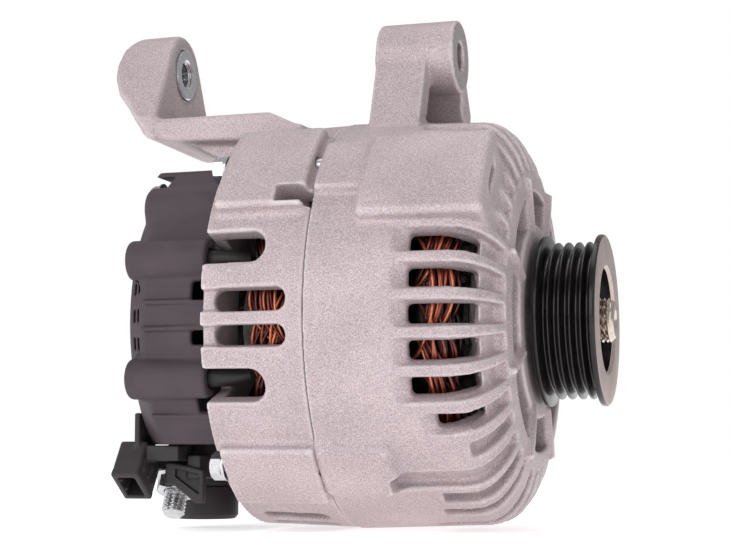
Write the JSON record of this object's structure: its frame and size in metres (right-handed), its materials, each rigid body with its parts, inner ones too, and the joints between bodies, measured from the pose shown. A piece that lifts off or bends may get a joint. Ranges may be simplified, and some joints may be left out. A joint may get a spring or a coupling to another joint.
{
  "type": "car alternator",
  "caption": "Car alternator with two slotted cast brackets, a front mounting lug, a threaded rear ear, a ribbed belt pulley, and a plastic rear cover with stud terminal and connector.",
  "frame": {"origin": "centre of the front lug's front face, on the axis of the mounting bolt", "axes": "+X along the shaft towards the pulley, +Z from the shaft axis to the mounting bolt's axis, +Y to complete a right-handed frame"},
  "size_m": [0.1771, 0.1404, 0.178],
  "materials": {
    "cast_aluminium": "blasted as-cast surface, fine grain",
    "zinc_steel": "zinc plated, bright",
    "cover_plastic": "matte moulded, fine texture",
    "black_plastic": "moulded, satin",
    "lamination_steel": "dull stacked sheets",
    "copper": "enamelled copper, glossy",
    "plain_steel": "turned, satin",
    "bright_steel": "turned, bright, oiled",
    "coated_steel": "black electrocoat, glossy",
    "plate_aluminium": "pressed plate, satin",
    "carbon": "pressed carbon, dull"
  },
  "bodies": {
    "housing": {"front_bracket": "cast_aluminium", "rear_bracket": "cast_aluminium", "through_bolt_1": "zinc_steel", "through_bolt_2": "zinc_steel", "through_bolt_3": "zinc_steel", "through_bolt_4": "zinc_steel", "cover_screw_1": "zinc_steel", "cover_screw_2": "zinc_steel", "cover_screw_3": "zinc_steel", "b_plus_stud": "zinc_steel", "b_plus_nut": "zinc_steel", "retainer_screw_1": "zinc_steel", "retainer_screw_2": "zinc_steel", "retainer_screw_3": "zinc_steel", "negative_diode_1": "zinc_steel", "negative_diode_2": "zinc_steel", "negative_diode_3": "zinc_steel", "positive_diode_1": "zinc_steel", "positive_diode_2": "zinc_steel", "positive_diode_3": "zinc_steel", "brush_spring_1": "zinc_steel", "brush_spring_2": "zinc_steel", "rear_cover": "cover_plastic", "stator_lead_1": "black_plastic", "stator_lead_2": "black_plastic", "regulator": "black_plastic", "b_plus_insulator": "black_plastic", "capacitor": "black_plastic", "brush_holder": "black_plastic", "stator_core": "lamination_steel", "stator_winding": "copper", "front_bearing_outer": "plain_steel", "rear_bearing_outer": "plain_steel", "bearing_retainer": "plain_steel", "negative_heatsink": "plate_aluminium", "positive_heatsink": "plate_aluminium"},
    "rotor": {"shaft": "bright_steel", "front_claw_pole": "plain_steel", "rear_claw_pole": "plain_steel", "coil_bobbin": "black_plastic", "field_coil": "copper", "front_fan": "plain_steel", "rear_fan": "plain_steel", "slip_ring_sleeve": "black_plastic", "slip_ring_1": "copper", "slip_ring_2": "copper", "front_bearing_inner": "plain_steel", "rear_bearing_inner": "plain_steel", "shaft_spacer": "plain_steel", "pulley": "coated_steel", "pulley_nut": "plain_steel"},
    "front_balls": {"front_bearing_cage": "plain_steel"},
    "rear_balls": {"rear_bearing_cage": "plain_steel"},
    "brush_1": {"brush_1": "carbon"},
    "brush_2": {"brush_2": "carbon"},
    "ear_bush": {"ear_bush": "zinc_steel"}
  },
  "joints": [
    {"name": "rotor_spin", "type": "hinge", "parent": "housing", "child": "rotor", "pos_m": [-0.0347, 0, -0.09333], "axis": [1, 0, 0], "continuous": true},
    {"name": "front_cage_spin", "type": "hinge", "parent": "housing", "child": "front_balls", "pos_m": [-0.0347, 0, -0.09333], "axis": [1, 0, 0], "continuous": true},
    {"name": "rear_cage_spin", "type": "hinge", "parent": "housing", "child": "rear_balls", "pos_m": [-0.0347, 0, -0.09333], "axis": [1, 0, 0], "continuous": true},
    {"name": "brush_1_slide", "type": "slide", "parent": "housing", "child": "brush_1", "axis": [0, 0, 1], "range_m": [0, 0.0035], "stiffness_N_per_m": 300, "springref_m": -0.012, "deforming": ["brush_spring_1"]},
    {"name": "brush_2_slide", "type": "slide", "parent": "housing", "child": "brush_2", "axis": [0, 0, 1], "range_m": [0, 0.0035], "stiffness_N_per_m": 300, "springref_m": -0.012, "deforming": ["brush_spring_2"]},
    {"name": "ear_bush_slide", "type": "slide", "parent": "housing", "child": "ear_bush", "axis": [1, 0, 0], "range_m": [0, 0.0015]}
  ],
  "couplings": [
    {"joint": "front_cage_spin", "follows": "rotor_spin", "ratio": 0.379},
    {"joint": "rear_cage_spin", "follows": "rotor_spin", "ratio": 0.411}
  ]
}
